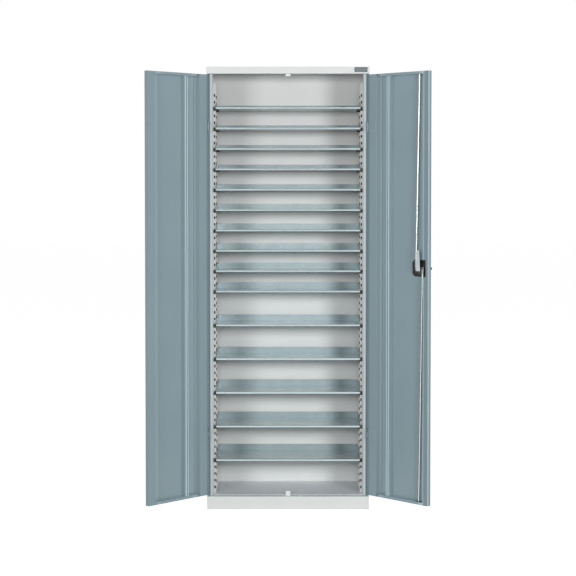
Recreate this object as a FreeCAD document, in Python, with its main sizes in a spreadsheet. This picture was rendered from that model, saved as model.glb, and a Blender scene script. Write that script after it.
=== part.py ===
import FreeCAD, Part
import math
import os
import Sketcher

# Tall steel storage cabinet with two hinged doors, a three point lock and fifteen tray shelves.
# Millimetres, +Z up, front towards -Y. The origin is the middle of the footprint, on the floor.
# The doors are drawn standing open, as they rest.

SIZES = {
    # Carcass
    "cabinet_width": 715,
    "cabinet_height": 1950,
    "cabinet_depth": 340,
    "panel_sheet": 1.2,
    "fold_radius": 1,
    "fit_gap": 0.3,
    "rail_height": 30,
    "return_lap": 1.5,
    "plinth_height": 58,
    "plinth_foot": 22,
    "stile_width": 25.5,
    "stile_gap": 12.5,
    "stile_hem": 20,
    "stile_chamfer": 11.5,
    "back_return": 20,
    "base_flange": 37,
    "base_flange_margin": 14,
    "bolt_hole_radius": 4.5,
    "bolt_inset_x": 19.5,
    "bolt_inset_y": 50,
    "wall_hole_radius": 4,
    "wall_hole_spacing": 500,
    "wall_hole_drop": 100,
    "floor_rise": 5,
    "floor_stop_gap": 0.8,
    "floor_side_gap": 0.5,
    # Slotted uprights
    "upright_sheet": 1.5,
    "upright_head_gap": 40,
    "upright_flange": 36.8,
    "upright_web": 36,
    "upright_lip": 14,
    "front_upright_setback": 65,
    "rear_upright_setback": 210,
    "slot_width": 6,
    "slot_height": 12,
    "slot_inset": 5.5,
    "slot_pitch": 30,
    "first_slot_rise": 25,
    "last_slot_margin": 30,
    # Tray shelves and their clips
    "shelf_setback": 40,
    "shelf_rear_gap": 6.8,
    "shelf_sheet": 1.2,
    "shelf_upstand": 28,
    "shelf_lip": 7.5,
    "shelf_slope": 30,
    "shelf_side_gap": 1.5,
    "top_shelf_room": 120,
    "clip_width": 8,
    "clip_rise": 8,
    "clip_depth": 8,
    "clip_ledge": 13,
    "clip_ledge_height": 4,
    "peg_play": 0.5,
    "peg_length": 4,
    # Door stops
    "stop_width": 21,
    "stop_sheet": 2,
    "stop_foot": 7,
    "stop_gap": 0.7,
    "upper_stop_drop": 10,
    "lower_stop_rise": 20,
    # Doors, measured from the hinge axis
    "door_open_angle": 134,
    "door_thickness": 20,
    "door_sheet": 1.2,
    "door_gap": 3,
    "door_end_gap": 2,
    "hinge_inset": 7.5,
    "hinge_edge": 6.5,
    "knuckle_clearance": 0.5,
    "door_hinge_return": 55,
    "left_free_return": 37,
    "right_free_return": 28,
    "door_lip": 12,
    "left_stiffener_start": 114,
    "right_stiffener_start": 105,
    "stiffener_width": 23,
    "stiffener_flange": 8,
    "stiffener_crown": 13.8,
    # Hinges
    "hinge_height": 46,
    "knuckle_height": 12,
    "knuckle_gap": 0.5,
    "knuckle_radius": 3.5,
    "pin_radius": 2,
    "pin_head_radius": 3.2,
    "pin_head_height": 1.5,
    "running_gap": 0.05,
    "leaf_sheet": 2,
    "leaf_width": 46,
    "leaf_start": 4.5,
    "bracket_edge": 2,
    "bracket_width": 11,
    "bracket_flange": 4,
    "bracket_strip": 2.5,
    "lower_hinge_rise": 270,
    "upper_hinge_drop": 229,
    # Lock on the right door, measured from the door's free edge and from the floor
    "lock_across": 55.5,
    "lock_level": 1076,
    "housing_near": 46,
    "housing_far": 40.5,
    "housing_rise": 72,
    "housing_corner": 12,
    "housing_depth": 4,
    "housing_cut_gap": 2,
    "housing_rounding": 1.5,
    "spindle_radius": 7,
    "skin_hole_radius": 9,
    "escutcheon_radius": 26,
    "escutcheon_sheet": 3,
    "escutcheon_rounding": 1.2,
    "handle_depth": 18,
    "handle_hub_radius": 18,
    "handle_reach": 44,
    "handle_half_width": 9,
    "handle_tip_half_width": 5,
    "handle_rounding": 3,
    "barrel_length": 12,
    "barrel_proud": 0.5,
    "key_slot_width": 1.6,
    "key_slot_length": 8,
    "key_slot_depth": 6,
    "cam_radius": 26,
    "cam_sheet": 1.5,
    "cam_throw": 19,
    "cam_pin_radius": 3,
    "cam_pin_proud": 1,
    "tongue_gap": 0.5,
    "tongue_sheet": 2,
    "tongue_reach": 78,
    "tongue_half_width": 11,
    "tongue_tip_half_width": 8,
    "screw_radius": 5,
    "screw_height": 2,
    # Lock rods and their guides
    "rod_radius": 4,
    "rod_lip_gap": 2.8,
    "rod_stub": 1,
    "rod_eye_sheet": 2.4,
    "rod_eye_half_width": 5,
    "rod_eye_length": 30,
    "upper_guide_across": 56.5,
    "lower_guide_across": 55,
    "guide_swing": 4.2,
    "guide_play": 0.5,
    "guide_wall": 2.2,
    "guide_end": 4,
    "guide_height": 12,
}
# Shelves stand on numbered slots: wide steps below, then narrow ones spread over the height left
FIRST_SHELF_SLOT, WIDE_SLOTS, WIDE_SHELVES, NARROW_SHELVES = 4, 5, 6, 9
LEFT, RIGHT = -1, 1
# Sketcher's own numbers for the origin point, and for a line's start, end and centre
ROOT, START, END, CENTRE = -1, 1, 2, 3
# How far a 45 degree fold moves a sheet's inner corner, per sheet thickness
MITRE = math.tan(math.radians(22.5))


class Size:
    """A length with its value and the sheet formula that gives it."""

    def __init__(self, value, formula):
        self.value = value
        self.formula = formula

    def __add__(self, other):
        other = as_size(other)
        return Size(self.value + other.value, f"({self.formula} + {other.formula})")

    def __sub__(self, other):
        other = as_size(other)
        return Size(self.value - other.value, f"({self.formula} - {other.formula})")

    def __mul__(self, other):
        other = as_size(other)
        return Size(self.value * other.value, f"({self.formula} * {other.formula})")

    def __truediv__(self, other):
        other = as_size(other)
        return Size(self.value / other.value, f"({self.formula} / {other.formula})")

    def __neg__(self):
        return Size(-self.value, f"(-1 * {self.formula})")

    __radd__ = __add__
    __rmul__ = __mul__


def as_size(number):
    if isinstance(number, Size):
        return number
    return Size(number, f"({number!r})")


doc = FreeCAD.newDocument("storage_cabinet")
sheet = doc.addObject("Spreadsheet::Sheet", "sizes")
size = {}
for row, (alias, value) in enumerate(SIZES.items(), start=1):
    sheet.set(f"A{row}", alias)
    sheet.set(f"B{row}", str(value))
    sheet.setAlias(f"B{row}", alias)
    size[alias] = Size(value, f"sizes.{alias}")
doc.recompute()
parts = []


def bind(item, prop, length):
    item.setExpression(prop, as_size(length).formula)


def new_body(label):
    """A body whose label is the name of the piece."""
    body = doc.addObject("PartDesign::Body", label)
    body.Label = label
    parts.append(body)
    return body


def origin_feature(body, role):
    return next(item for item in body.Origin.OriginFeatures if item.Role == role)


def sketch_on(body, name, role, start):
    """A sketch on one of the body's own planes, moved along the plane's normal by start."""
    sketch = body.newObject("Sketcher::SketchObject", name + "_sketch")
    sketch.AttachmentSupport = [(origin_feature(body, role), "")]
    sketch.MapMode = "FlatFace"
    bind(sketch, ".AttachmentOffset.Base.z", start)
    return sketch


def hold(sketch, targets):
    """Hold each point of the sketch at its two distances from the origin."""
    for line, position, point in targets:
        for kind, length in zip(("DistanceX", "DistanceY"), point):
            length = as_size(length)
            index = sketch.addConstraint(
                Sketcher.Constraint(kind, ROOT, START, line, position, length.value))
            sketch.setExpression(f"Constraints[{index}]", length.formula)


def draw_outline(sketch, points):
    """A closed outline of straight lines through the points."""
    corners = [FreeCAD.Vector(as_size(x).value, as_size(y).value) for x, y in points]
    followers = corners[1:] + corners[:1]
    lines = [sketch.addGeometry(Part.LineSegment(a, b)) for a, b in zip(corners, followers)]
    sketch.addConstraint([Sketcher.Constraint("Coincident", line, END, follower, START)
                          for line, follower in zip(lines, lines[1:] + lines[:1])])
    hold(sketch, [(line, START, point) for line, point in zip(lines, points)])


def draw_circles(sketch, centres, radius):
    """Circles of one radius round the given centres."""
    for x, y in centres:
        middle = FreeCAD.Vector(as_size(x).value, as_size(y).value)
        line = sketch.addGeometry(Part.Circle(middle, FreeCAD.Vector(0, 0, 1), radius.value))
        index = sketch.addConstraint(Sketcher.Constraint("Radius", line, radius.value))
        sketch.setExpression(f"Constraints[{index}]", radius.formula)
        hold(sketch, [(line, CENTRE, (x, y))])


def extrude(body, kind, name, sketch, length):
    feature = body.newObject(kind, name)
    feature.Profile = sketch
    feature.Reversed = kind == "PartDesign::Pocket"
    bind(feature, "Length", length)
    return feature


def pad(body, name, role, points, start, length):
    """Add an outline's prism, from start along the plane's normal."""
    sketch = sketch_on(body, name, role, start)
    draw_outline(sketch, points)
    return extrude(body, "PartDesign::Pad", name, sketch, length)


def cut(body, name, role, points, start, length):
    """Take away an outline's prism, from start along the plane's normal."""
    sketch = sketch_on(body, name, role, start)
    draw_outline(sketch, points)
    return extrude(body, "PartDesign::Pocket", name, sketch, length)


def pad_round(body, name, role, centres, radius, start, length):
    sketch = sketch_on(body, name, role, start)
    draw_circles(sketch, centres, radius)
    return extrude(body, "PartDesign::Pad", name, sketch, length)


def cut_round(body, name, role, centres, radius, start, length):
    sketch = sketch_on(body, name, role, start)
    draw_circles(sketch, centres, radius)
    return extrude(body, "PartDesign::Pocket", name, sketch, length)


def repeat_up(body, name, originals, count, step):
    """Repeat features along +Z, count in all, one step apart."""
    pattern = body.newObject("PartDesign::LinearPattern", name)
    pattern.Originals = originals
    pattern.Direction = (origin_feature(body, "Z_Axis"), [""])
    pattern.Occurrences = count
    bind(pattern, "Length", (count - 1) * step)
    body.Tip = pattern


def round_edges(body, name, radius, places):
    """Round the last feature's edges that lie at one of the places, given by their coordinates."""
    doc.recompute()
    last = body.Tip

    def lies_at(edge, place):
        return all(abs(getattr(vertex, axis) - length.value) < 0.001
                   for vertex in edge.Vertexes for axis, length in place.items())

    edges = [f"Edge{index}" for index, edge in enumerate(last.Shape.Edges, start=1)
             if any(lies_at(edge, place) for place in places)]
    fillet = body.newObject("PartDesign::Fillet", name)
    fillet.Base = (last, edges)
    bind(fillet, "Radius", radius)


def rectangle(x0, x1, y0, y1):
    return [(x0, y0), (x1, y0), (x1, y1), (x0, y1)]


# Places that several pieces share
half_width = size["cabinet_width"] / 2
front = -size["cabinet_depth"] / 2
back = size["cabinet_depth"] / 2
roof_level = size["cabinet_height"]
panel = size["panel_sheet"]
gap = size["fit_gap"]
inside = half_width - panel
rail_level = roof_level - size["rail_height"]
plinth_top = size["plinth_height"]
floor_level = plinth_top + size["floor_rise"]
door_bottom = plinth_top + size["door_end_gap"]
door_top = rail_level - size["door_end_gap"]
# The shut doors, the stops behind them, and then the floor's edge and the stiles
door_back = front + size["door_thickness"]
stop_face = door_back + size["stop_gap"]
floor_nose = stop_face + size["stop_foot"] + size["floor_stop_gap"]
rail_tail = floor_nose + size["return_lap"]
stile_front = door_back + size["stile_gap"]
stile_inner = half_width - size["stile_width"]
stile_corner = stile_front + size["stile_chamfer"]
# The uprights, and the shelves that stand between them on their slots
flange_edge = inside - size["upright_flange"]
shelf_half = flange_edge - size["shelf_side_gap"]
slot_middle = flange_edge + size["slot_inset"]
upright_top = rail_level - size["upright_head_gap"]
first_slot = floor_level + size["first_slot_rise"]
slot_run = upright_top - size["last_slot_margin"] - first_slot
slot_count = 1 + int(slot_run.value / SIZES["slot_pitch"])
top_wide_slot = FIRST_SHELF_SLOT + WIDE_SLOTS * (WIDE_SHELVES - 1)
narrow_run = rail_level - size["top_shelf_room"] - first_slot - top_wide_slot * size["slot_pitch"]
narrow_slots = int(narrow_run.value / (NARROW_SHELVES * SIZES["slot_pitch"]))
# The hinges, with their axis clear of the door by the knuckle's radius
standoff = size["knuckle_radius"] + size["knuckle_clearance"]
hinge_x = half_width - size["hinge_inset"]
hinge_y = door_back + standoff
hinge_low = door_bottom + size["lower_hinge_rise"]
hinge_step = door_top - size["upper_hinge_drop"] - hinge_low
hinge_base = hinge_low - size["hinge_height"] / 2
# A shut door's layers and places, measured from its hinge axis
skin_outer = -(size["door_thickness"] + standoff)
skin_inner = skin_outer + size["door_sheet"]
door_inner = -standoff
hinge_side = -size["hinge_edge"]
free_side = hinge_x - size["door_gap"] / 2
lock_x = free_side - size["lock_across"]
lock_z = size["lock_level"]
rod_face = door_inner - size["door_sheet"] - size["rod_lip_gap"] - size["rod_radius"]
upper_guide_x = free_side - size["upper_guide_across"]
lower_guide_x = free_side - size["lower_guide_across"]
slot_reach = size["rod_radius"] + size["guide_swing"] + size["guide_play"]
slot_half = size["rod_radius"] + size["guide_play"]


def make_side_panel(label, side):
    """Side wall folded from one sheet, with the front stile, back return and bolting flange."""
    body = new_body(label)
    mitre = panel * MITRE
    chamfer_x = half_width - size["stile_chamfer"]
    section = [
        (half_width, back),
        (half_width, stile_corner),
        (chamfer_x, stile_front),
        (stile_inner, stile_front),
        (stile_inner, stile_front + size["stile_hem"]),
        (stile_inner + panel, stile_front + size["stile_hem"]),
        (stile_inner + panel, stile_front + panel),
        (chamfer_x - mitre, stile_front + panel),
        (inside, stile_corner + mitre),
        (inside, back - panel),
        (half_width - size["back_return"], back - panel),
        (half_width - size["back_return"], back),
    ]
    pad(body, "wall", "XY_Plane", [(side * x, y) for x, y in section], 0, roof_level - panel)
    bolt_x = side * (half_width - size["bolt_inset_x"])
    bolt_y = back - size["bolt_inset_y"]
    reach = bolt_y + size["base_flange_margin"]
    flange = rectangle(side * (half_width - size["base_flange"]), side * inside, -reach, reach)
    pad(body, "base_flange", "XY_Plane", flange, 0, panel)
    bolts = [(bolt_x, -bolt_y), (bolt_x, bolt_y)]
    cut_round(body, "bolt_holes", "XY_Plane", bolts, size["bolt_hole_radius"], 0, panel)


def make_back_panel():
    """Flat back sheet behind the shelves, with two holes for fixing to a wall."""
    body = new_body("back_panel")
    reach = inside - gap
    pad(body, "wall", "XZ_Plane", rectangle(-reach, reach, 0, roof_level - panel), panel - back, panel)
    hole_x = size["wall_hole_spacing"] / 2
    hole_z = roof_level - size["wall_hole_drop"]
    holes = [(-hole_x, hole_z), (hole_x, hole_z)]
    cut_round(body, "wall_holes", "XZ_Plane", holes, size["wall_hole_radius"], panel - back, panel)


def end_walls(body, low, high):
    """Close both ends of a front rail in front of the side panels."""
    rear = stile_corner - panel - gap
    for name, x in (("left_end", -half_width), ("right_end", inside)):
        pad(body, name, "YZ_Plane", rectangle(front, rear, low, high), x, panel)


def rod_slot(body, middle, level):
    """Slot that a lock rod enters, in a rail's flange."""
    middle_x = hinge_x - middle
    middle_y = hinge_y + rod_face
    hole = rectangle(middle_x - slot_reach, middle_x + slot_reach, middle_y - slot_half, middle_y + slot_half)
    cut(body, "rod_slot", "XY_Plane", hole, level, panel)


def make_roof_panel():
    """Roof sheet folded down at the front into the top rail, flush with the shut doors."""
    body = new_body("roof_panel")
    inner = front + panel
    section = [
        (front, rail_level),
        (front, roof_level),
        (back, roof_level),
        (back, roof_level - panel),
        (inner, roof_level - panel),
        (inner, rail_level + panel),
        (rail_tail, rail_level + panel),
        (rail_tail, rail_level),
    ]
    pad(body, "roof", "YZ_Plane", section, -half_width, size["cabinet_width"])
    end_walls(body, rail_level, roof_level)
    folds = [{"Y": front, "Z": roof_level}, {"Y": front, "Z": rail_level}]
    round_edges(body, "folds", size["fold_radius"], folds)
    rod_slot(body, upper_guide_x, rail_level)


def make_plinth():
    """Front plinth, a channel that stands on the floor and carries the floor panel."""
    body = new_body("plinth")
    inner = front + panel
    section = [
        (front, 0),
        (front, plinth_top),
        (rail_tail, plinth_top),
        (rail_tail, plinth_top - panel),
        (inner, plinth_top - panel),
        (inner, panel),
        (front + size["plinth_foot"], panel),
        (front + size["plinth_foot"], 0),
    ]
    pad(body, "channel", "YZ_Plane", section, -half_width, size["cabinet_width"])
    end_walls(body, 0, plinth_top)
    round_edges(body, "folds", size["fold_radius"], [{"Y": front, "Z": plinth_top}])
    rod_slot(body, lower_guide_x, plinth_top - panel)


def make_floor_panel():
    """Cabinet floor, turned down at the front on to the plinth and at the back."""
    body = new_body("floor_panel")
    level = floor_level
    nose = floor_nose
    tail = back - 2 * panel - gap
    section = [
        (nose, plinth_top),
        (nose, level),
        (tail, level),
        (tail, plinth_top),
        (tail - panel, plinth_top),
        (tail - panel, level - panel),
        (nose + panel, level - panel),
        (nose + panel, plinth_top),
    ]
    reach = stile_inner - size["floor_side_gap"]
    pad(body, "floor", "YZ_Plane", section, -reach, 2 * reach)


def make_upright(label, side, setback):
    """Slotted upright, a lipped angle on the side wall that stands on the cabinet floor."""
    body = new_body(label)
    face = front + setback
    thick = size["upright_sheet"]
    section = [
        (flange_edge, face),
        (inside, face),
        (inside, face + size["upright_web"]),
        (inside - thick, face + size["upright_web"]),
        (inside - thick, face + thick),
        (flange_edge + thick, face + thick),
        (flange_edge + thick, face + size["upright_lip"]),
        (flange_edge, face + size["upright_lip"]),
    ]
    outline = [(side * x, y) for x, y in section]
    pad(body, "angle", "XY_Plane", outline, floor_level, upright_top - floor_level)
    x0 = side * (slot_middle - size["slot_width"] / 2)
    x1 = side * (slot_middle + size["slot_width"] / 2)
    z0 = first_slot - size["slot_height"] / 2
    z1 = first_slot + size["slot_height"] / 2
    slot = cut(body, "slot", "XZ_Plane", rectangle(x0, x1, z0, z1), -(face + thick), thick)
    repeat_up(body, "slots", [slot], slot_count, size["slot_pitch"])


def shelf_level(number):
    """Underside of a shelf, counted from 0 at the bottom: wide steps first, then narrow ones."""
    wide = min(number, WIDE_SHELVES - 1)
    narrow = number - wide
    slot = FIRST_SHELF_SLOT + wide * WIDE_SLOTS + narrow * narrow_slots
    return first_slot + slot * size["slot_pitch"]


def make_shelf(number):
    """Pressed tray shelf with upstands behind and at the sides and a low front lip."""
    body = new_body(f"shelf_{number + 1:02d}")
    nose = front + size["shelf_setback"]
    tail = back - panel - size["shelf_rear_gap"]
    thick = size["shelf_sheet"]
    side_view = [
        (nose, 0),
        (tail, 0),
        (tail, size["shelf_upstand"]),
        (nose + size["shelf_slope"], size["shelf_upstand"]),
        (nose, size["shelf_lip"]),
    ]
    pad(body, "tray", "YZ_Plane", side_view, -shelf_half, 2 * shelf_half)
    reach = shelf_half - thick
    inner = rectangle(-reach, reach, nose + thick, tail - thick)
    cut(body, "hollow", "XY_Plane", inner, thick, size["shelf_upstand"])
    round_edges(body, "folds", size["fold_radius"], [{"Y": nose, "Z": as_size(0)}])
    bind(body, ".Placement.Base.z", shelf_level(number))


def make_clips(label, side, setback):
    """Plastic shelf clips on one upright, each pegged into a slot with a ledge under its shelf."""
    body = new_body(label)
    face = front + setback
    near = slot_middle - size["clip_width"] / 2
    far = slot_middle + size["clip_width"] / 2
    rise = size["clip_rise"]
    ledge = near - size["clip_ledge"]
    peg_x = size["slot_width"] / 2 - size["peg_play"]
    peg_z = size["slot_height"] / 2 - size["peg_play"]
    runs = ((0, WIDE_SHELVES, WIDE_SLOTS), (WIDE_SHELVES, NARROW_SHELVES, narrow_slots))
    for first, count, slots in runs:
        level = shelf_level(first)
        outline = [
            (far, level - rise),
            (far, level + rise),
            (near, level + rise),
            (near, level),
            (ledge, level),
            (ledge, level - size["clip_ledge_height"]),
            (near, level - rise),
        ]
        outline = [(side * x, z) for x, z in outline]
        block = pad(body, f"clip_{first}", "XZ_Plane", outline, -face, size["clip_depth"])
        peg_outline = rectangle(side * (slot_middle - peg_x), side * (slot_middle + peg_x),
                                level - peg_z, level + peg_z)
        peg_start = -(face + size["peg_length"])
        peg = pad(body, f"peg_{first}", "XZ_Plane", peg_outline, peg_start, size["peg_length"])
        repeat_up(body, f"row_{first}", [block, peg], count, slots * size["slot_pitch"])


def make_door_stop(label, level, rise):
    """Small angle at the middle of a rail that both doors close against."""
    body = new_body(label)
    face = stop_face
    foot = level + size["stop_sheet"] * math.copysign(1, rise.value)
    section = [
        (face, level),
        (face + size["stop_foot"], level),
        (face + size["stop_foot"], foot),
        (face + size["stop_sheet"], foot),
        (face + size["stop_sheet"], level + rise),
        (face, level + rise),
    ]
    pad(body, "angle", "YZ_Plane", section, -size["stop_width"] / 2, size["stop_width"])


def knuckle_levels():
    """Bottom and height of the frame's two knuckles and of the door's one between them."""
    height = size["knuckle_height"]
    top = hinge_base + size["hinge_height"] - height
    middle = hinge_base + height + size["knuckle_gap"]
    middle_height = size["hinge_height"] - 2 * (height + size["knuckle_gap"])
    return hinge_base, top, height, middle, middle_height


def make_frame_leaves(label, side):
    """Hinge brackets on one stile, each with a flange and two knuckles in front of it."""
    body = new_body(label)
    low, high, height, middle, middle_height = knuckle_levels()
    inner = stile_inner + size["bracket_edge"]
    outer = inner + size["bracket_width"]
    fold = outer - size["bracket_flange"]
    angle = [
        (inner, stile_front),
        (outer, stile_front),
        (outer, hinge_y),
        (fold, hinge_y),
        (fold, stile_front - size["leaf_sheet"]),
        (inner, stile_front - size["leaf_sheet"]),
    ]
    base = pad(body, "angle", "XY_Plane", [(side * x, y) for x, y in angle], hinge_base, size["hinge_height"])
    features = [base]
    strip = rectangle(side * fold, side * hinge_x, hinge_y, hinge_y + size["bracket_strip"])
    axis = [(side * hinge_x, hinge_y)]
    bore = size["pin_radius"] + size["running_gap"]
    for name, level in (("lower", low), ("upper", high)):
        features.append(pad(body, f"{name}_strip", "XY_Plane", strip, level, height))
        features.append(
            pad_round(body, f"{name}_knuckle", "XY_Plane", axis, size["knuckle_radius"], level, height))
    features.append(cut_round(body, "bore", "XY_Plane", axis, bore, hinge_base, size["hinge_height"]))
    repeat_up(body, "pair", features, 2, hinge_step)


def make_pins(label, side):
    """Headed hinge pins of one door, held in the frame's knuckles."""
    body = new_body(label)
    axis = [(side * hinge_x, hinge_y)]
    top = hinge_base + size["hinge_height"]
    shank = pad_round(body, "shank", "XY_Plane", axis, size["pin_radius"], hinge_base, size["hinge_height"])
    head = pad_round(body, "head", "XY_Plane", axis, size["pin_head_radius"], top, size["pin_head_height"])
    repeat_up(body, "pair", [shank, head], 2, hinge_step)


# Each door piece is drawn shut, with the hinge axis as its own origin, and placed standing open.
# Across runs from the hinge to the free edge, and faces count towards the front.


def new_door_body(label, side):
    """A piece of a door, turned open about that door's hinge axis."""
    body = new_body(label)
    body.Placement = FreeCAD.Placement(FreeCAD.Vector(), FreeCAD.Rotation(FreeCAD.Vector(0, 0, 1), side))
    bind(body, ".Placement.Base.x", side * hinge_x)
    bind(body, ".Placement.Base.y", hinge_y)
    bind(body, ".Placement.Rotation.Angle", side * size["door_open_angle"])
    return body


def across(side, points):
    """Points measured across a door, turned to that door's own direction."""
    return [(-side * x, y) for x, y in points]


def make_door_panel(label, side, free_return):
    """Door folded from one sheet into a tray, with returns and a sloped fold by the hinges."""
    body = new_door_body(label, side)
    thick = size["door_sheet"]
    hinge_tail = hinge_side + size["door_hinge_return"]
    free_tail = free_side - free_return
    fold_low = skin_inner + gap
    fold_foot = hinge_tail + door_inner - fold_low
    mitre = thick * MITRE
    section = [
        (hinge_side, skin_outer),
        (free_side, skin_outer),
        (free_side, door_inner),
        (free_tail, door_inner),
        (free_tail, door_inner - thick),
        (free_side - thick, door_inner - thick),
        (free_side - thick, skin_inner),
        (hinge_side + thick, skin_inner),
        (hinge_side + thick, door_inner - thick),
        (hinge_tail - mitre, door_inner - thick),
        (fold_foot - thick - mitre, fold_low),
        (fold_foot, fold_low),
        (hinge_tail, door_inner),
        (hinge_side, door_inner),
    ]
    pad(body, "tray", "XY_Plane", across(side, section), door_bottom, door_top - door_bottom)
    wall = across(side, rectangle(hinge_side, free_side, skin_outer, door_inner))
    lip = across(side, rectangle(hinge_side, free_side, door_inner - thick, door_inner))
    pad(body, "bottom_wall", "XY_Plane", wall, door_bottom, thick)
    pad(body, "bottom_lip", "XY_Plane", lip, door_bottom, size["door_lip"])
    pad(body, "top_wall", "XY_Plane", wall, door_top - thick, thick)
    pad(body, "top_lip", "XY_Plane", lip, door_top - size["door_lip"], size["door_lip"])
    round_edges(body, "folds", size["fold_radius"], [{"Y": skin_outer}])
    return body


def guide_hole(middle):
    """Outline of a guide's slot in a door, long enough for the rod's swing."""
    return across(RIGHT, rectangle(middle - slot_reach, middle + slot_reach,
                                   rod_face - slot_half, rod_face + slot_half))


def make_right_door_panel():
    """Right door tray, cut away round the lock and slotted for its rods."""
    thick = size["door_sheet"]
    body = make_door_panel("right_door_panel", RIGHT, size["right_free_return"])
    room = size["housing_cut_gap"]
    rise = size["housing_rise"] / 2 + room
    near = lock_x - size["housing_near"] - room
    far = lock_x + size["housing_far"] + room
    window = rectangle(near, far, lock_z - rise, lock_z + rise)
    cut(body, "lock_window", "XZ_Plane", across(RIGHT, window), -door_inner, thick)
    spindle = across(RIGHT, [(lock_x, lock_z)])
    cut_round(body, "spindle_hole", "XZ_Plane", spindle, size["skin_hole_radius"], -skin_inner, thick)
    cut(body, "upper_hole", "XY_Plane", guide_hole(upper_guide_x), door_top - thick, thick)
    cut(body, "lower_hole", "XY_Plane", guide_hole(lower_guide_x), door_bottom, thick)


def make_stiffener(label, side, start):
    """Hat section stiffener on the back of a door's skin."""
    body = new_door_body(label, side)
    thick = size["door_sheet"]
    end = start + size["stiffener_width"]
    crown = skin_inner + size["stiffener_crown"]
    section = [
        (start - size["stiffener_flange"], skin_inner),
        (start - size["stiffener_flange"], skin_inner + thick),
        (start, skin_inner + thick),
        (start, crown),
        (end, crown),
        (end, skin_inner + thick),
        (end + size["stiffener_flange"], skin_inner + thick),
        (end + size["stiffener_flange"], skin_inner),
        (end - thick, skin_inner),
        (end - thick, crown - thick),
        (start + thick, crown - thick),
        (start + thick, skin_inner),
    ]
    low = door_bottom + thick
    pad(body, "hat", "XY_Plane", across(side, section), low, door_top - thick - low)


def make_door_leaves(label, side):
    """Hinge leaves on one door, each with the knuckle between the frame's two."""
    body = new_door_body(label, side)
    low, high, height, middle, middle_height = knuckle_levels()
    face = door_inner + size["leaf_sheet"]
    plate = across(side, rectangle(size["leaf_start"], size["leaf_width"], door_inner, face))
    neck = across(side, rectangle(0, size["leaf_start"], -size["knuckle_radius"], face))
    bore = size["pin_radius"] + size["running_gap"]
    axis = [(0, 0)]
    features = [
        pad(body, "plate", "XY_Plane", plate, hinge_base, size["hinge_height"]),
        pad(body, "neck", "XY_Plane", neck, middle, middle_height),
        pad_round(body, "knuckle", "XY_Plane", axis, size["knuckle_radius"], middle, middle_height),
        cut_round(body, "bore", "XY_Plane", axis, bore, middle, middle_height),
    ]
    repeat_up(body, "pair", features, 2, hinge_step)


# Faces of the lock's layers, from the door's skin inwards
lock_bore = size["spindle_radius"] + size["running_gap"]
lock_centre = across(RIGHT, [(lock_x, lock_z)])
housing_face = skin_inner + size["housing_depth"]
cam_back = housing_face + gap
cam_face = cam_back + size["cam_sheet"]
tongue_back = door_inner + size["tongue_gap"]
tongue_face = tongue_back + size["tongue_sheet"]
escutcheon_face = skin_outer - size["escutcheon_sheet"]
handle_back = escutcheon_face - gap
handle_face = handle_back - size["handle_depth"]
barrel_back = handle_face + size["barrel_length"]


def make_lock_housing():
    """Lock case on the back of the right door's skin, with cut corners."""
    body = new_door_body("lock_housing", RIGHT)
    corner = size["housing_corner"]
    near = lock_x - size["housing_near"]
    far = lock_x + size["housing_far"]
    low = lock_z - size["housing_rise"] / 2
    high = lock_z + size["housing_rise"] / 2
    outline = [
        (near + corner, low),
        (far - corner, low),
        (far, low + corner),
        (far, high - corner),
        (far - corner, high),
        (near + corner, high),
        (near, high - corner),
        (near, low + corner),
    ]
    pad(body, "case", "XZ_Plane", across(RIGHT, outline), -housing_face, size["housing_depth"])
    round_edges(body, "rounding", size["housing_rounding"], [{"Y": housing_face}])
    cut_round(body, "bore", "XZ_Plane", lock_centre, lock_bore, -housing_face, size["housing_depth"])


def make_escutcheon():
    """Round plate under the handle on the door's outer face."""
    body = new_door_body("lock_escutcheon", RIGHT)
    pad_round(body, "plate", "XZ_Plane", lock_centre, size["escutcheon_radius"],
              -skin_outer, size["escutcheon_sheet"])
    round_edges(body, "rounding", size["escutcheon_rounding"], [{"Y": escutcheon_face}])
    cut_round(body, "bore", "XZ_Plane", lock_centre, lock_bore, -skin_outer, size["escutcheon_sheet"])


def make_handle():
    """Winged turning handle, lying level while the lock is open."""
    body = new_door_body("lock_handle", RIGHT)
    reach = size["handle_reach"]
    wide = size["handle_half_width"]
    tip = size["handle_tip_half_width"]
    wing = [
        (lock_x - reach, lock_z - tip),
        (lock_x, lock_z - wide),
        (lock_x + reach, lock_z - tip),
        (lock_x + reach, lock_z + tip),
        (lock_x, lock_z + wide),
        (lock_x - reach, lock_z + tip),
    ]
    pad(body, "wing", "XZ_Plane", across(RIGHT, wing), -handle_back, size["handle_depth"])
    pad_round(body, "hub", "XZ_Plane", lock_centre, size["handle_hub_radius"],
              -handle_back, size["handle_depth"])
    round_edges(body, "rounding", size["handle_rounding"], [{"Y": handle_face}])
    cut_round(body, "bore", "XZ_Plane", lock_centre, lock_bore, -handle_back, size["handle_depth"])


def make_key_barrel():
    """Key barrel in the middle of the handle."""
    body = new_door_body("key_barrel", RIGHT)
    nose = handle_face - size["barrel_proud"]
    slot_x = size["key_slot_width"] / 2
    slot_z = size["key_slot_length"] / 2
    pad_round(body, "barrel", "XZ_Plane", lock_centre, size["spindle_radius"],
              -barrel_back, barrel_back - nose)
    slot = rectangle(lock_x - slot_x, lock_x + slot_x, lock_z - slot_z, lock_z + slot_z)
    cut(body, "key_slot", "XZ_Plane", across(RIGHT, slot), -(nose + size["key_slot_depth"]),
        size["key_slot_depth"])


def make_spindle():
    """Shaft from the handle through the door to the cam and the tongue."""
    body = new_door_body("lock_spindle", RIGHT)
    start = barrel_back + gap
    pad_round(body, "shaft", "XZ_Plane", lock_centre, size["spindle_radius"],
              -tongue_back, tongue_back - start)


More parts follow.
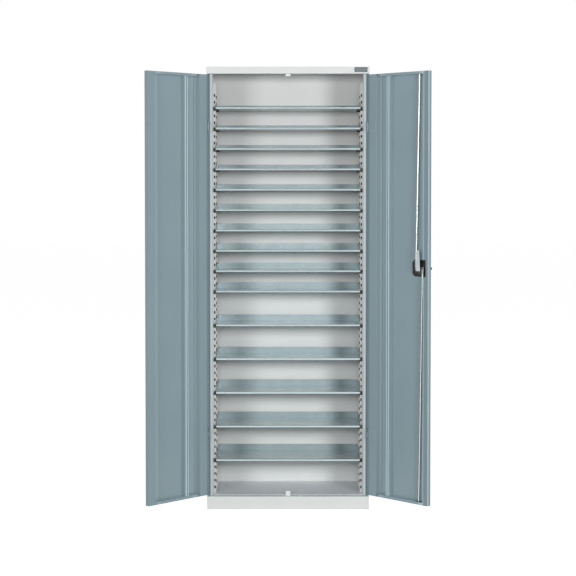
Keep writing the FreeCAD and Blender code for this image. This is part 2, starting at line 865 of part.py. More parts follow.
def make_cam():
    """Cam disc with the two pins that drive the rods."""
    body = new_door_body("lock_cam", RIGHT)
    throw = size["cam_throw"]
    pins = across(RIGHT, [(lock_x - throw, lock_z), (lock_x + throw, lock_z)])
    pad_round(body, "disc", "XZ_Plane", lock_centre, size["cam_radius"], -cam_face, size["cam_sheet"])
    pin_end = rod_face + size["rod_eye_sheet"] / 2 + size["cam_pin_proud"]
    pad_round(body, "pins", "XZ_Plane", pins, size["cam_pin_radius"], -pin_end, pin_end - cam_face)
    cut_round(body, "bore", "XZ_Plane", lock_centre, lock_bore, -cam_face, size["cam_sheet"])


def make_tongue():
    """Latch tongue on the spindle's end, upright while the lock is open."""
    body = new_door_body("lock_tongue", RIGHT)
    wide = size["tongue_half_width"]
    tip = size["tongue_tip_half_width"]
    outline = [
        (lock_x - wide, lock_z - wide),
        (lock_x + wide, lock_z - wide),
        (lock_x + wide, lock_z + wide),
        (lock_x + tip, lock_z + size["tongue_reach"]),
        (lock_x - tip, lock_z + size["tongue_reach"]),
        (lock_x - wide, lock_z + wide),
    ]
    pad(body, "blade", "XZ_Plane", across(RIGHT, outline), -tongue_face, size["tongue_sheet"])


def make_lock_screw():
    """Screw head that holds the tongue on the spindle."""
    body = new_door_body("lock_screw", RIGHT)
    pad_round(body, "head", "XZ_Plane", lock_centre, size["screw_radius"],
              -(tongue_face + size["screw_height"]), size["screw_height"])


def make_rod(label, pin_x, guide_x, end_z, way):
    """Round lock rod with a flat eye on its cam pin, leaning towards its guide."""
    body = new_door_body(label, RIGHT)
    lean = (guide_x - pin_x) / (end_z - lock_z)
    half = size["rod_eye_half_width"]
    eye_z = way * size["rod_eye_length"]
    eye_x = pin_x + lean * eye_z
    foot_x = pin_x - lean * way * half
    eye = [
        (foot_x - half, lock_z - way * half),
        (foot_x + half, lock_z - way * half),
        (eye_x + half, lock_z + eye_z),
        (eye_x - half, lock_z + eye_z),
    ]
    flat_face = rod_face + size["rod_eye_sheet"] / 2
    pad(body, "eye", "XZ_Plane", across(RIGHT, eye), -flat_face, size["rod_eye_sheet"])
    pin = across(RIGHT, [(pin_x, lock_z)])
    cut_round(body, "pin_hole", "XZ_Plane", pin, size["cam_pin_radius"] + size["running_gap"],
              -flat_face, size["rod_eye_sheet"])
    start_z = lock_z + eye_z - way * half
    start_x = pin_x + lean * (eye_z - way * half)
    stem = pad_round(body, "stem", "XY_Plane", across(RIGHT, [(start_x, rod_face)]),
                     size["rod_radius"], start_z, way * (end_z - start_z))
    stem.UseCustomVector = True
    stem.AlongSketchNormal = True
    stem.Direction = FreeCAD.Vector(0, 0, way)
    bind(stem, "Direction.x", -way * lean)


def make_rod_guide(label, middle, level):
    """Plastic guide for a rod's end inside the door's edge."""
    body = new_door_body(label, RIGHT)
    reach = slot_reach + size["guide_end"]
    half = slot_half + size["guide_wall"]
    block = rectangle(middle - reach, middle + reach, rod_face - half, rod_face + half)
    pad(body, "block", "XY_Plane", across(RIGHT, block), level, size["guide_height"])
    cut(body, "slot", "XY_Plane", guide_hole(middle), level, size["guide_height"])


# Carcass
make_side_panel("left_side_panel", LEFT)
make_side_panel("right_side_panel", RIGHT)
make_back_panel()
make_roof_panel()
make_plinth()
make_floor_panel()
for side_name, side in (("left", LEFT), ("right", RIGHT)):
    for place in ("front", "rear"):
        setback = size[f"{place}_upright_setback"]
        make_upright(f"{side_name}_{place}_upright", side, setback)
        make_clips(f"{side_name}_{place}_shelf_clips", side, setback)
for number in range(WIDE_SHELVES + NARROW_SHELVES):
    make_shelf(number)
make_door_stop("upper_door_stop", rail_level, -size["upper_stop_drop"])
make_door_stop("lower_door_stop", plinth_top, size["lower_stop_rise"])
# Hinges
for side_name, side in (("left", LEFT), ("right", RIGHT)):
    make_frame_leaves(f"{side_name}_hinge_frame_leaves", side)
    make_pins(f"{side_name}_hinge_pins", side)
    make_door_leaves(f"{side_name}_hinge_door_leaves", side)
    make_stiffener(f"{side_name}_door_stiffener", side, size[f"{side_name}_stiffener_start"])
# Doors
make_door_panel("left_door_panel", LEFT, size["left_free_return"])
make_right_door_panel()
# Lock
make_lock_housing()
make_escutcheon()
make_handle()
make_key_barrel()
make_spindle()
make_cam()
make_tongue()
make_lock_screw()
make_rod("upper_lock_rod", lock_x - size["cam_throw"], upper_guide_x,
         door_top + size["rod_stub"], 1)
make_rod("lower_lock_rod", lock_x + size["cam_throw"], lower_guide_x,
         door_bottom - size["rod_stub"], -1)
make_rod_guide("upper_rod_guide", upper_guide_x, door_top - size["door_sheet"] - size["guide_height"])
make_rod_guide("lower_rod_guide", lower_guide_x, door_bottom + size["door_sheet"])

doc.recompute()
for item in doc.Objects:
    if "Invalid" in item.State or "Error" in item.State:
        raise RuntimeError(f"{item.Label} failed: {item.State}")
for body in parts:
    if body.Shape.isNull() or not body.Shape.isValid() or not body.Shape.Solids:
        raise RuntimeError(f"{body.Label} has no valid solid")
os.makedirs("parts", exist_ok=True)
for body in parts:
    body.Shape.exportStep(f"parts/{body.Label}.step")
print(len(parts), "pieces written")
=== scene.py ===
import bpy
import math
from mathutils import Matrix, Vector


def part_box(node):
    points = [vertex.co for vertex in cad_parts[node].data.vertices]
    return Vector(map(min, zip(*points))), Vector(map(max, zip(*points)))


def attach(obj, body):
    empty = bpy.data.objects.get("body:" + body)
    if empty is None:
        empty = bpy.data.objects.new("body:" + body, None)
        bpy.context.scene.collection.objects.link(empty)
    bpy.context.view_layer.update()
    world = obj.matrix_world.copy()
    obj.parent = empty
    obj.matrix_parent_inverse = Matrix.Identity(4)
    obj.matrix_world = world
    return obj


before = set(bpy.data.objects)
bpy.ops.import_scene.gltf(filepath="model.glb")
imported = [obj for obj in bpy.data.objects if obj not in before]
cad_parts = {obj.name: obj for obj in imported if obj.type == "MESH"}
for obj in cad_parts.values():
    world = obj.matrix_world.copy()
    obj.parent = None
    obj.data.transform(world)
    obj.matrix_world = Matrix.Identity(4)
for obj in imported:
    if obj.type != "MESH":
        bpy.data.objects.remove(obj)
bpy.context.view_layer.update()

scene = bpy.context.scene
scene.view_settings.view_transform = "Standard"


# Back, roof and plinth: a flat back, a roof folded down at the front into the top rail, and a folded
# plinth, all of 1.2 mm steel sheet. They are spot welded to the side walls, and the shell is then
# powder coated in light grey.
def linear(hex_colour):
    """An sRGB hex colour as linear red, green, blue and alpha."""
    shares = [int(hex_colour[i:i + 2], 16) / 255 for i in (1, 3, 5)]
    return [s / 12.92 if s <= 0.04045 else ((s + 0.055) / 1.055) ** 2.4 for s in shares] + [1]


def set_inputs(owner, node, inputs):
    """Set a node's inputs. Each takes a number, a colour or another node's output."""
    for socket, value in inputs.items():
        if isinstance(value, bpy.types.NodeSocket):
            owner.node_tree.links.new(value, node.inputs[socket])
        else:
            node.inputs[socket].default_value = value


def add_node(owner, kind, inputs, **settings):
    """Add a node with its settings and its inputs."""
    made = owner.node_tree.nodes.new(kind)
    for name, value in settings.items():
        setattr(made, name, value)
    set_inputs(owner, made, inputs)
    return made


def new_material(name):
    """An empty material and its shader, with the surface already joined up."""
    material = bpy.data.materials.new(name)
    material.use_nodes = True
    return material, material.node_tree.nodes["Principled BSDF"]


def two_tones(material, share, first, second):
    """Blend two colours by a share. Each is given as the share that it has in full, and its hex."""
    ramp = add_node(material, "ShaderNodeValToRGB", {"Fac": share})
    for stop, (position, colour) in zip(ramp.color_ramp.elements, (first, second)):
        stop.position = position
        stop.color = linear(colour)
    return ramp.outputs["Color"]


def finish_nodes(material, *names):
    """Give CAD pieces their finish."""
    for name in names:
        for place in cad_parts[name].material_slots:
            place.material = material


# Powder coat: sprayed polyester, baked until it flows. It has a satin gloss with a slight
# orange peel. The peel is 2 mm from crest to crest, drawn at 9 mm so that it shows.
def powder_coat(name, main, shade):
    cloud_size, peel_size = 0.22, 0.009
    material, shader = new_material(name)
    place = add_node(material, "ShaderNodeTexCoord", {}).outputs["Object"]
    cloud = add_node(material, "ShaderNodeTexNoise",
                     {"Vector": place, "Scale": 1 / cloud_size, "Detail": 3})
    peel = add_node(material, "ShaderNodeTexNoise",
                    {"Vector": place, "Scale": 1 / peel_size, "Detail": 2})
    gloss = add_node(material, "ShaderNodeMapRange",
                     {"Value": peel.outputs["Fac"], "To Min": 0.26, "To Max": 0.36})
    bump = add_node(material, "ShaderNodeBump",
                    {"Height": peel.outputs["Fac"], "Strength": 0.12, "Distance": 0.0003})
    set_inputs(material, shader, {
        "Base Color": two_tones(material, cloud.outputs["Fac"], (0.3, shade), (0.7, main)),
        "Roughness": gloss.outputs["Result"], "Normal": bump.outputs["Normal"],
        "IOR": 1.5, "Specular IOR Level": 0.5})
    return material


light_grey = ("#DADCDB", "#D6D8D7")
light_grey_coat = powder_coat("light_grey_powder_coat", *light_grey)
finish_nodes(light_grey_coat, "back_panel", "roof_panel", "plinth")


# Floor: a steel sheet turned down on to the plinth at the front and coated with the shell. Its coat is
# drawn paler and bluer than the walls', as painted light, and its front edge greyer, as painted shade, so
# it is toned by place.
def place_axes(material):
    """The X, Y and Z of a place on the part, each as an output."""
    place = add_node(material, "ShaderNodeTexCoord", {}).outputs["Object"]
    return add_node(material, "ShaderNodeSeparateXYZ", {"Vector": place}).outputs


def paint_light_and_shade_along(material, run, stops):
    """Multiply a finish's colour by painted light and shade along a line. Each stop is a place in metres
    and a tone.
    """
    base = material.node_tree.nodes["Principled BSDF"].inputs["Base Color"]
    start, end = stops[0][0], stops[-1][0]
    along = add_node(material, "ShaderNodeMapRange",
                     {"Value": run, "From Min": start, "From Max": end})
    tint = add_node(material, "ShaderNodeValToRGB", {"Fac": along.outputs["Result"]})
    ramp = tint.color_ramp.elements
    ramp[0].color = linear(stops[0][1])
    ramp[1].color = linear(stops[-1][1])
    for place, tone in stops[1:-1]:
        ramp.new((place - start) / (end - start)).color = linear(tone)
    both = add_node(material, "ShaderNodeMix",
                    {"Factor": 1, "A": base.links[0].from_socket, "B": tint.outputs["Color"]},
                    data_type="RGBA", blend_type="MULTIPLY")
    material.node_tree.links.new(both.outputs[2], base)


# Paler, bluer coat as painted light, and a darker front edge as painted shade.
floor_coat = powder_coat("floor_coat_with_painted_light_and_shade", "#ECF1F3", "#E8EDEF")
paint_light_and_shade_along(floor_coat, place_axes(floor_coat)["Y"], [(-0.1410, "#BCC0C1"), (-0.1385, "#FFFFFF")])
finish_nodes(floor_coat, "floor_panel")


# Side walls: one folded steel sheet each, coated with the shell. The front fold, the stile, is drawn
# greyer and bluer than the wall, as painted shade and painted reflection of the doors, and darkest beside
# the hinges, as painted shade, so the coat is toned by place there.
def stile_coat_with_painted_shade(name, stops):
    """Light grey coat with painted shade, toned by its distance from the cabinet's middle, at the front
    only.
    """
    stile_back = -0.111
    material = powder_coat(name, *light_grey)
    axes = place_axes(material)
    distance = add_node(material, "ShaderNodeMath", {0: axes["X"]}, operation="ABSOLUTE")
    behind = add_node(material, "ShaderNodeMath", {0: axes["Y"], 1: stile_back},
                      operation="GREATER_THAN")
    run = add_node(material, "ShaderNodeMath", {0: distance.outputs[0], 1: behind.outputs[0]},
                   operation="ADD")
    paint_light_and_shade_along(material, run.outputs[0], stops)
    return material


# Painted shade and painted reflection of the doors on the stile, and painted shade beside the hinges.
stile_painted_shade_and_reflection = [(0.330, "#CDD5D8"), (0.3415, "#D2DBDD")]
hinge_side_painted_shade = [(0.3435, "#8E9DA2"), (0.350, "#8E9DA2"), (0.353, "#FFFFFF")]
finish_nodes(stile_coat_with_painted_shade("light_grey_coat_with_painted_shade_on_stiles", stile_painted_shade_and_reflection + hinge_side_painted_shade),
             "left_side_panel", "right_side_panel")


# Plugs: two light grey plastic caps pressed into the wall fixing holes from inside, so that the
# back looks plain until they are prised out.
smooth_angle = math.radians(35)


def hole_plug(name, x, z):
    radius, thickness, y = 0.0065, 0.0016, 0.168
    boss_step, boss_length, rounding = 0.0027, 0.001, 0.0006
    bpy.ops.object.select_all(action="DESELECT")
    bpy.context.tool_settings.mesh_select_mode = (False, False, True)
    bpy.ops.mesh.primitive_cylinder_add(vertices=32, radius=radius, depth=thickness,
                                        location=(x, y, z), rotation=(math.radians(90), 0, 0))
    plug = bpy.context.object
    plug.name = name
    bpy.ops.object.transform_apply(location=True, rotation=True, scale=True)
    for face in plug.data.polygons:
        face.select = face.normal.y > 0.9
    bpy.ops.object.mode_set(mode="EDIT")
    bpy.ops.mesh.inset(thickness=boss_step)
    bpy.ops.mesh.extrude_region_move(TRANSFORM_OT_translate={"value": (0, boss_length, 0)})
    bpy.ops.object.mode_set(mode="OBJECT")
    for face in plug.data.polygons:
        face.select = face.normal.y < -0.9
    bpy.ops.object.mode_set(mode="EDIT")
    bpy.ops.mesh.bevel(offset=rounding, segments=3)
    bpy.ops.object.mode_set(mode="OBJECT")
    bpy.ops.object.shade_smooth_by_angle(angle=smooth_angle)
    plug.data.materials.append(light_grey_coat)
    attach(plug, "carcass")


hole_plug("left_wall_hole_plug", -0.25, 1.85)
hole_plug("right_wall_hole_plug", 0.25, 1.85)


# Slotted uprights: four lipped angles of 1.5 mm steel, punched with a slot every 30 mm and
# spot welded to the side walls before the shell is coated.
uprights = [f"{side}_{row}_upright" for side in ("left", "right") for row in ("front", "rear")]
finish_nodes(light_grey_coat, *uprights)


# Shelf clips: moulded black nylon pegs that snap into the slots, four under each shelf.
# The mould's spark finish leaves a fine grain, 0.5 mm wide, drawn at 3 mm so that it shows.
def moulded_plastic(name, main, shade, rough):
    grain_size, spread = 0.003, 0.06
    material, shader = new_material(name)
    place = add_node(material, "ShaderNodeTexCoord", {}).outputs["Object"]
    grain = add_node(material, "ShaderNodeTexNoise",
                     {"Vector": place, "Scale": 1 / grain_size, "Detail": 2})
    tone = add_node(material, "ShaderNodeMix",
                    {"Factor": grain.outputs["Fac"], "A": linear(main), "B": linear(shade)},
                    data_type="RGBA")
    gloss = add_node(material, "ShaderNodeMapRange",
                     {"Value": grain.outputs["Fac"], "To Min": rough - spread, "To Max": rough + spread})
    bump = add_node(material, "ShaderNodeBump",
                    {"Height": grain.outputs["Fac"], "Strength": 0.2, "Distance": 0.0002})
    set_inputs(material, shader, {
        "Base Color": tone.outputs[2], "Roughness": gloss.outputs["Result"],
        "Normal": bump.outputs["Normal"], "IOR": 1.53})
    return material


black_nylon = moulded_plastic("black_moulded_nylon", "#1B1C1D", "#242526", 0.45)
finish_nodes(black_nylon, *[upright.replace("upright", "shelf_clips") for upright in uprights])


# Strips behind the slots: 1 mm channels of the same black nylon, pushed into the uprights from behind.
# They close the backs of the slots and are black as painted shade, so that the slots look dark.
def slot_shade_strip(name, upright):
    side_gaps, end_gaps, set_back = 0.0034, 0.002, 0.012
    leg, thickness = 0.009, 0.001
    low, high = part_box(upright)
    middle = ((low[0] + high[0]) / 2, low[1] + set_back, (low[2] + high[2]) / 2)
    bpy.ops.object.select_all(action="DESELECT")
    bpy.ops.mesh.primitive_plane_add(size=1, rotation=(math.radians(90), 0, 0), location=middle)
    strip = bpy.context.object
    strip.name = name
    strip.scale = (high[0] - low[0] - side_gaps, high[2] - low[2] - end_gaps, 1)
    bpy.ops.object.transform_apply(location=True, rotation=True, scale=True)
    bpy.ops.object.mode_set(mode="EDIT")
    bpy.ops.mesh.select_mode(type="EDGE")
    bpy.ops.mesh.select_all(action="DESELECT")
    bpy.ops.object.mode_set(mode="OBJECT")
    for edge in strip.data.edges:
        first, second = [strip.data.vertices[index].co for index in edge.vertices]
        edge.select = abs(first.x - second.x) < 0.001
    bpy.ops.object.mode_set(mode="EDIT")
    bpy.ops.mesh.extrude_edges_move(TRANSFORM_OT_translate={"value": (0, leg, 0)})
    bpy.ops.mesh.select_all(action="SELECT")
    bpy.ops.mesh.normals_make_consistent(inside=False)
    bpy.ops.object.mode_set(mode="OBJECT")
    wall = strip.modifiers.new("wall", "SOLIDIFY")
    wall.thickness = thickness
    wall.offset = 0
    bpy.ops.object.modifier_apply(modifier="wall")
    # Black, as painted shade in the slots.
    strip.data.materials.append(black_nylon)
    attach(strip, "carcass")


for upright in uprights:
    slot_shade_strip(upright.replace("upright", "slot_shade_strip"), upright)


# Tray shelves: fifteen trays pressed from 1.2 mm hot dip galvanised sheet, loose on their clips.
# The zinc freezes in spangles about 14 mm across, and rolling leaves faint streaks along the sheet.
def galvanised_sheet(name):
    spangle_size, streak_length, streak_width = 0.014, 0.4, 0.012
    material, shader = new_material(name)
    place = add_node(material, "ShaderNodeTexCoord", {}).outputs["Object"]
    spangle = add_node(material, "ShaderNodeTexVoronoi", {"Vector": place, "Scale": 1 / spangle_size})
    flake = add_node(material, "ShaderNodeSeparateColor", {"Color": spangle.outputs["Color"]})
    along = add_node(material, "ShaderNodeMapping",
                     {"Vector": place, "Scale": (1 / streak_length, 1 / streak_width, 1 / streak_width)})
    streak = add_node(material, "ShaderNodeTexNoise",
                      {"Vector": along.outputs["Vector"], "Scale": 1, "Detail": 4})
    both = add_node(material, "ShaderNodeMix",
                    {"Factor": 0.6, "A": flake.outputs["Red"], "B": streak.outputs["Fac"]})
    gloss = add_node(material, "ShaderNodeMapRange",
                     {"Value": both.outputs["Result"], "To Min": 0.18, "To Max": 0.24})
    bump = add_node(material, "ShaderNodeBump",
                    {"Height": streak.outputs["Fac"], "Strength": 0.04, "Distance": 0.0003})
    set_inputs(material, shader, {
        "Base Color": two_tones(material, both.outputs["Result"], (0.2, "#B9C9CD"), (0.8, "#C6D4D7")),
        "Roughness": gloss.outputs["Result"], "Normal": bump.outputs["Normal"], "Metallic": 0.7})
    return material


# The trays are drawn darker towards their ends, more so at the right, and on the upper shelves, as painted
# shade, so the zinc is toned by place behind the bright front lip.
lip_back = -0.127
end_painted_shade = [(-0.300, "#FFFFFF"), (-0.222, "#D4D8D9"), (-0.130, "#FFFFFF"), (0.180, "#FFFFFF"),
             (0.245, "#BABFC1"), (0.300, "#E8ECED")]
level_painted_shade = [(0.20, "#ECECEC"), (0.80, "#FFFFFF"), (1.25, "#FFFFFF"), (1.55, "#DADADA"),
               (1.80, "#C8C8C8")]
zinc_sheet = galvanised_sheet("hot_dip_galvanised_sheet_with_painted_shade")
shelf_axes = place_axes(zinc_sheet)
behind_lip = add_node(zinc_sheet, "ShaderNodeMath", {0: shelf_axes["Y"], 1: lip_back},
                      operation="GREATER_THAN")
# Painted shade towards the tray ends and on the upper shelves.
for axis, tones in (("X", end_painted_shade), ("Z", level_painted_shade)):
    run = add_node(zinc_sheet, "ShaderNodeMath", {0: shelf_axes[axis], 1: behind_lip.outputs[0]},
                   operation="MULTIPLY")
    paint_light_and_shade_along(zinc_sheet, run.outputs[0], tones)
finish_nodes(zinc_sheet, *[f"shelf_{number:02d}" for number in range(1, 16)])


# Door stops: two small angles moulded in white nylon, at the middle of the top rail and of the
# plinth. Each is held by one screw.
white_nylon = moulded_plastic("white_moulded_nylon", "#DFE2E2", "#D8DBDB", 0.4)
finish_nodes(white_nylon, "upper_door_stop", "lower_door_stop")


# Doors: two trays folded from 1.2 mm sheet, each with a hat section stiffener spot welded to its
# skin and two hinge leaves. All of it is powder coated in blue grey after welding.
open_angle = math.radians(134)
hinge_x, hinge_y = 0.350, -0.146


def door_coat_with_painted_light_and_shade(name, main, shade, stops):
    """Blue grey coat with painted light and shade across an open door's inner face, by distance from the
    hinge axis.

    The line of the tones leans a little into the door, so that they also change with depth. The
    outer face, which looks back while the door is open, takes the last tone.
    """
    lean, looks_back = 0.15, 0.3
    across_x = -math.cos(open_angle) - lean * math.sin(open_angle)
    across_y = math.sin(open_angle) - lean * math.cos(open_angle)
    hinge_line = across_x * hinge_x - across_y * hinge_y
    material = powder_coat(name, main, shade)
    spot = add_node(material, "ShaderNodeTexCoord", {}).outputs
    mirrored = add_node(material, "ShaderNodeVectorMath", {0: spot["Object"]}, operation="ABSOLUTE")
    along_door = add_node(material, "ShaderNodeVectorMath",
                          {0: mirrored.outputs[0], 1: (across_x, across_y, 0)}, operation="DOT_PRODUCT")
    facing = add_node(material, "ShaderNodeSeparateXYZ", {"Vector": spot["Normal"]})
    outside = add_node(material, "ShaderNodeMath", {0: facing.outputs["Y"], 1: looks_back},
                       operation="GREATER_THAN")
    across = add_node(material, "ShaderNodeMath",
                      {0: along_door.outputs["Value"], 1: outside.outputs[0]}, operation="ADD")
    paint_light_and_shade_along(material, across.outputs[0], [(hinge_line + place, tone) for place, tone in stops])
    return material


# Inside a door the coat is drawn darker at the hinge edge and in the fold beside the leaves, as painted
# shade, and paler next to the folds, as painted light. At the free edges a strip is drawn paler, as
# painted light, and the next one darker, as painted shade; on the right door the edge itself is a painted
# highlight. So the coat is toned by place.
hinge_edge_painted_light_and_shade = [
    (-0.010, "#B0B0B0"), (0.003, "#B0B0B0"), (0.010, "#D1D1D1"), (0.046, "#D1D1D1"), (0.050, "#A4A4A4"),
    (0.057, "#A4A4A4"), (0.062, "#BEBEBE"), (0.066, "#BEBEBE"), (0.068, "#E0E0E0"), (0.092, "#E0E0E0"),
    (0.098, "#D1D1D1")]
free_edge_painted_light_and_shade = {
    "left": [(0.270, "#D1D1D1"), (0.278, "#E4E4E4"), (0.300, "#E4E4E4"), (0.304, "#CBCBCB")],
    "right": [(0.290, "#D1D1D1"), (0.303, "#F4F4F4"), (0.3185, "#FFFFFF"), (0.3225, "#F8F8F8"),
              (0.326, "#BEBEBE"), (0.3464, "#B6B6B6"), (0.3468, "#FAFAFA"), (0.3485, "#FAFAFA")]}
for side, tones in free_edge_painted_light_and_shade.items():
    door_coat = door_coat_with_painted_light_and_shade(f"blue_grey_powder_coat_in_{side}_door", "#AFC7D0", "#ABC3CC",
                                hinge_edge_painted_light_and_shade + tones)
    finish_nodes(door_coat, f"{side}_hinge_door_leaves", f"{side}_door_panel")

# On the stiffeners the coat is drawn brighter than on the doors, and the folds are pale lines between
# darker faces: painted highlights on the folds and painted shade on the faces. Each tone is placed from
# the edge of the hat's crown.
crown_painted_highlights_and_shade = [
    (-0.002, "#ABB0B3"), (-0.001, "#F4F6F6"), (0.0035, "#F4F6F6"), (0.0045, "#9CA1A4"),
    (0.0095, "#9CA1A4"), (0.0105, "#F4F6F6"), (0.0145, "#F4F6F6"), (0.0155, "#A6ABAE"),
    (0.0185, "#A6ABAE"), (0.0192, "#D2D6D8"), (0.0204, "#D2D6D8"), (0.0208, "#A0A5A8")]
for side, crown_edge in (("left", 0.1126), ("right", 0.1036)):
    stiffener_coat = door_coat_with_painted_light_and_shade(f"blue_grey_powder_coat_on_{side}_stiffener", "#D4EAF0", "#D0E6EC",
                                     [(crown_edge + place, tone) for place, tone in crown_painted_highlights_and_shade])
    finish_nodes(stiffener_coat, f"{side}_door_stiffener")


# Frame side of the hinges: steel brackets welded to the stiles and coated with the shell, and plain steel
# pins. The brackets carry the stiles' painted shade, and a darker painted shade where they stand beside
# the doors, and the pins are phosphated dark.
bracket_painted_shade = [(0.3435, "#78878C"), (0.360, "#78878C")]
finish_nodes(stile_coat_with_painted_shade("light_grey_coat_with_painted_shade_on_brackets", stile_painted_shade_and_reflection + bracket_painted_shade),
             "left_hinge_frame_leaves", "right_hinge_frame_leaves")


# Drawn steel: plated or phosphated after drawing. It shines as metal does, with faint lines along
# its length, 4 mm wide and 90 mm long.
def drawn_steel(name, main, shade, rough):
    line_width, line_length, spread = 0.004, 0.09, 0.08
    material, shader = new_material(name)
    place = add_node(material, "ShaderNodeTexCoord", {}).outputs["Object"]
    drawn = add_node(material, "ShaderNodeMapping",
                     {"Vector": place, "Scale": (1 / line_width, 1 / line_width, 1 / line_length)})
    scratch = add_node(material, "ShaderNodeTexNoise",
                       {"Vector": drawn.outputs["Vector"], "Scale": 1, "Detail": 3})
    tone = add_node(material, "ShaderNodeMix",
                    {"Factor": scratch.outputs["Fac"], "A": linear(main), "B": linear(shade)},
                    data_type="RGBA")
    gloss = add_node(material, "ShaderNodeMapRange",
                     {"Value": scratch.outputs["Fac"], "To Min": rough - spread, "To Max": rough + spread})
    set_inputs(material, shader, {
        "Base Color": tone.outputs[2], "Roughness": gloss.outputs["Result"], "Metallic": 1})
    return material


phosphated_steel = drawn_steel("phosphated_steel", "#5A5E60", "#4C5052", 0.42)
finish_nodes(phosphated_steel, "left_hinge_pins", "right_hinge_pins")


# Lock: a black plastic case behind the door's skin and a black handle and plate in front of it.
# The shaft, tongue, rods and key barrel are zinc plated steel and the cam is phosphated. Black
# plastic guides hold the rods.
black_case = moulded_plastic("black_moulded_case", "#0C0D0E", "#131415", 0.5)
finish_nodes(black_case, "lock_housing", "lock_escutcheon", "lock_handle",
             "upper_rod_guide", "lower_rod_guide")
bright_zinc = drawn_steel("bright_zinc_plate", "#E9ECEC", "#D5D9D9", 0.28)
finish_nodes(bright_zinc, "lock_spindle", "lock_tongue", "lock_screw", "key_barrel")
finish_nodes(drawn_steel("drawn_zinc_plated_rod", "#C2C8C8", "#B2B8B8", 0.34),
             "upper_lock_rod", "lower_lock_rod")
finish_nodes(phosphated_steel, "lock_cam")


# Screws: zinc plated pan head screws with a round recess. They hold the hinge leaves, the lock
# case and the door stops. Those in the hinge leaves are coated with the doors.
def pan_head_screw(name, radius, seat, facing, body, coat=bright_zinc):
    """A screw head, half of it let into its seat, turned to face away from the seat."""
    height, rounding = radius * 0.6, radius * 0.3
    rim, recess = radius * 0.25, radius * 0.35
    bpy.ops.object.select_all(action="DESELECT")
    bpy.ops.mesh.primitive_cylinder_add(vertices=20, radius=radius, depth=height)
    screw = bpy.context.object
    screw.name = name
    for face in screw.data.polygons:
        face.select = face.normal.z > 0.9
    for edge in screw.data.edges:
        edge.select = False
    for vertex in screw.data.vertices:
        vertex.select = vertex.co.z > 0
    bpy.ops.object.mode_set(mode="EDIT")
    bpy.ops.mesh.select_mode(type="FACE")
    bpy.ops.mesh.bevel(offset=rounding, segments=3)
    bpy.ops.object.mode_set(mode="OBJECT")
    top = max(vertex.co.z for vertex in screw.data.vertices)
    for face in screw.data.polygons:
        face.select = face.normal.z > 0.99 and abs(face.center.z - top) < radius * 0.01
    bpy.ops.object.mode_set(mode="EDIT")
    bpy.ops.mesh.inset(thickness=rim)
    bpy.ops.mesh.extrude_region_move(TRANSFORM_OT_translate={"value": (0, 0, -recess)})
    bpy.ops.mesh.select_all(action="SELECT")
    bpy.ops.mesh.normals_make_consistent(inside=False)
    bpy.ops.object.mode_set(mode="OBJECT")
    turn = Vector((0, 0, 1)).rotation_difference(Vector(facing)).to_matrix().to_4x4()
    screw.matrix_world = Matrix.Translation(seat) @ turn
    bpy.ops.object.transform_apply(location=True, rotation=True, scale=True)
    bpy.ops.object.shade_smooth_by_angle(angle=smooth_angle)
    screw.data.materials.append(coat)
    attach(screw, body)


def on_door(side, across, level, depth):
    """A point on an open door: across it from the hinge axis, up from the ground, and in from the axis."""
    x = hinge_x - across * math.cos(open_angle) - depth * math.sin(open_angle)
    y = hinge_y - across * math.sin(open_angle) + depth * math.cos(open_angle)
    return side * x, y, level


blue_grey_coat = powder_coat("blue_grey_powder_coat", "#8FA3AB", "#8B9FA7")
for door, side in (("left", -1), ("right", 1)):
    inwards = (-side * math.sin(open_angle), math.cos(open_angle), 0)
    for hinge, level in (("lower", 0.330), ("upper", 1.689)):
        for row, across in (("near", 0.015), ("far", 0.035)):
            pan_head_screw(f"{door}_{hinge}_hinge_{row}_screw", 0.0035,
                           on_door(side, across, level, -0.002), inwards, f"{door}_door",
                           blue_grey_coat)
for row, level in (("low", 1.047), ("high", 1.105)):
    pan_head_screw(f"lock_case_{row}_screw", 0.003, on_door(1, 0.325, level, -0.0188), inwards,
                   "right_door")
for row, level in (("upper", 1.9145), ("lower", 0.0705)):
    pan_head_screw(f"{row}_stop_screw", 0.002, (0, -0.1493, level), (0, -1, 0), "carcass")


# Plate: a bare plate of dark grey anodised aluminium, 57 by 21 mm, glued to the right end of the
# top rail. Its edges are rolled into a rounded rim that stands proud of its face.
width, thickness, height = 0.057, 0.0012, 0.0212
rounding, face_step, face_depth = 0.002, 0.0012, 0.0004
bpy.ops.object.select_all(action="DESELECT")
bpy.ops.mesh.primitive_cube_add(size=1, location=(0.3195, -0.1706, 1.9372),
                                scale=(width, thickness, height))
plate = bpy.context.object
plate.name = "rail_plate"
bpy.ops.object.transform_apply(location=True, rotation=True, scale=True)
bpy.ops.object.mode_set(mode="EDIT")
bpy.ops.mesh.select_mode(type="EDGE")
bpy.ops.mesh.bevel(offset=rounding, segments=4)
bpy.ops.object.mode_set(mode="OBJECT")
for face in plate.data.polygons:
    face.select = face.normal.y < -0.9
bpy.ops.object.mode_set(mode="EDIT")
bpy.ops.mesh.select_mode(type="FACE")
bpy.ops.mesh.inset(thickness=face_step)
bpy.ops.mesh.extrude_region_move(TRANSFORM_OT_translate={"value": (0, face_depth, 0)})
bpy.ops.object.mode_set(mode="OBJECT")


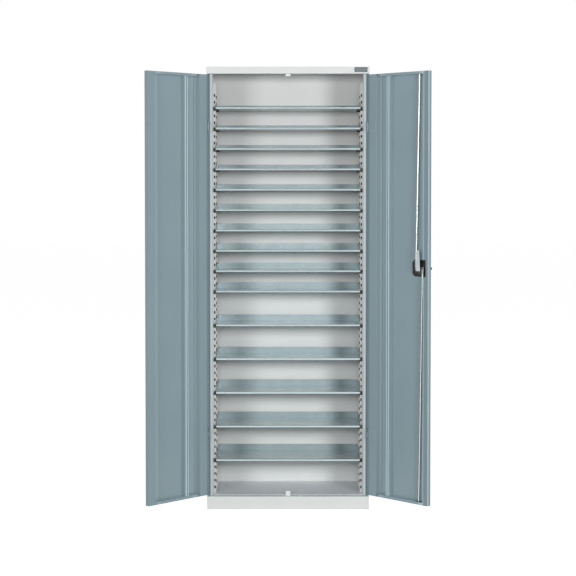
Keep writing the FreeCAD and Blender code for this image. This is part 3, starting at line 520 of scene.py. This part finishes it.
# Anodised aluminium: a dyed film on brushed metal. It is matt, with fine lines along its length,
# 0.2 mm apart, drawn at 1.5 mm so that they show.
def anodised_aluminium(name, main, shade):
    line_length, line_width = 0.05, 0.0015
    material, shader = new_material(name)
    place = add_node(material, "ShaderNodeTexCoord", {}).outputs["Object"]
    brushed = add_node(material, "ShaderNodeMapping",
                       {"Vector": place, "Scale": (1 / line_length, 1 / line_width, 1 / line_width)})
    line = add_node(material, "ShaderNodeTexNoise",
                    {"Vector": brushed.outputs["Vector"], "Scale": 1, "Detail": 2})
    tone = add_node(material, "ShaderNodeMix",
                    {"Factor": line.outputs["Fac"], "A": linear(main), "B": linear(shade)},
                    data_type="RGBA")
    gloss = add_node(material, "ShaderNodeMapRange",
                     {"Value": line.outputs["Fac"], "To Min": 0.4, "To Max": 0.55})
    set_inputs(material, shader, {
        "Base Color": tone.outputs[2], "Roughness": gloss.outputs["Result"], "Metallic": 0.5})
    return material


plate.data.materials.append(anodised_aluminium("dark_grey_anodised_aluminium", "#5E6567", "#6A7173"))
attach(plate, "carcass")


# Studio: a white floor that keeps a soft shadow, and white surroundings. Soft lamps stand in front
# of the cabinet, to its left, to its right and behind the camera. The camera stands higher than the
# middle of the doors and looks slightly down.
def seen_directly(owner):
    """One for what is seen, also in a reflection or through glass, and nought for what only lights."""
    path = add_node(owner, "ShaderNodeLightPath", {}).outputs
    plain = add_node(owner, "ShaderNodeMath", {0: path["Is Camera Ray"], 1: path["Is Glossy Ray"]},
                     operation="MAXIMUM")
    seen = add_node(owner, "ShaderNodeMath", {0: plain.outputs[0], 1: path["Is Transmission Ray"]},
                    operation="MAXIMUM")
    return seen.outputs[0]


white = (1, 1, 1, 1)
bpy.ops.object.select_all(action="DESELECT")
bpy.ops.mesh.primitive_plane_add(size=60, location=(0, 0, -0.0005))
floor = bpy.context.object
floor.name = "studio_floor"
white_floor, floor_shader = new_material("white_studio_floor")
glow = add_node(white_floor, "ShaderNodeMath", {0: seen_directly(white_floor), 1: 0.88},
                operation="MULTIPLY")
set_inputs(white_floor, floor_shader, {
    "Base Color": linear("#CFCFCF"), "Roughness": 0.9, "Specular IOR Level": 0.1,
    "Emission Color": white, "Emission Strength": glow.outputs[0]})
floor.data.materials.append(white_floor)

world = bpy.data.worlds.new("white_surroundings")
scene.world = world
world.use_nodes = True
strength = add_node(world, "ShaderNodeMapRange",
                    {"Value": seen_directly(world), "To Min": 0.12, "To Max": 1.0})
set_inputs(world, world.node_tree.nodes["Background"],
           {"Color": white, "Strength": strength.outputs["Result"]})

aim = Vector((0, 0, 1.0))
for name, place, width, height, power in (("right_lamp", (2.95, -5.5, 1.85), 1.3, 0.9, 154),
                                          ("left_lamp", (-3.2, -5.4, 1.85), 1.6, 0.9, 112),
                                          ("front_lamp", (0.0, -7.6, 1.9), 1.6, 0.9, 126)):
    lamp_data = bpy.data.lights.new(name, "AREA")
    lamp_data.shape = "RECTANGLE"
    lamp_data.size = width
    lamp_data.size_y = height
    lamp_data.energy = power
    lamp = bpy.data.objects.new(name, lamp_data)
    scene.collection.objects.link(lamp)
    lamp.location = place
    lamp.visible_glossy = name != "front_lamp"
    lamp.rotation_euler = (aim - Vector(place)).to_track_quat("-Z", "Y").to_euler()

camera_data = bpy.data.cameras.new("camera")
camera_data.sensor_width = 36
camera_data.lens = 97.95
camera_data.shift_y = -0.088
camera = bpy.data.objects.new("camera", camera_data)
scene.collection.objects.link(camera)
camera.location = (0, -7.047, 1.4434)
camera.rotation_euler = (math.radians(88), 0, 0)
scene.camera = camera
